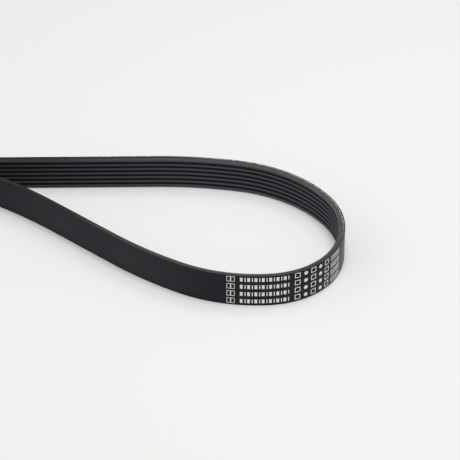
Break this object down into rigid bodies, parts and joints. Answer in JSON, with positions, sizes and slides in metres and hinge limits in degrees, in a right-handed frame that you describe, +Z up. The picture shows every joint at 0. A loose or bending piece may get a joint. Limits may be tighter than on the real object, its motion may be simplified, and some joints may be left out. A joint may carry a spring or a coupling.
{
  "type": "serpentine belt",
  "caption": "Endless ribbed drive belt of black rubber, standing slack on its cut edge in a small and a large loop, with V ribs along the inside and a smooth back.",
  "frame": {"origin": "under the middle of the belt's box, on the surface that the lower cut edge stands on", "axes": "+X along the belt's longest extent, from the large loop to the small one; +Z up, across the belt's width"},
  "size_m": [0.7774, 0.3408, 0.0249],
  "materials": {
    "rubber": "matt charcoal rubber: smooth moulded back, ground ribs and cut edges of a greyer, fibrous face",
    "print_ink": "matt white ink marks on the smooth back"
  },
  "bodies": {
    "root": {"belt": "rubber"}
  },
  "joints": []
}
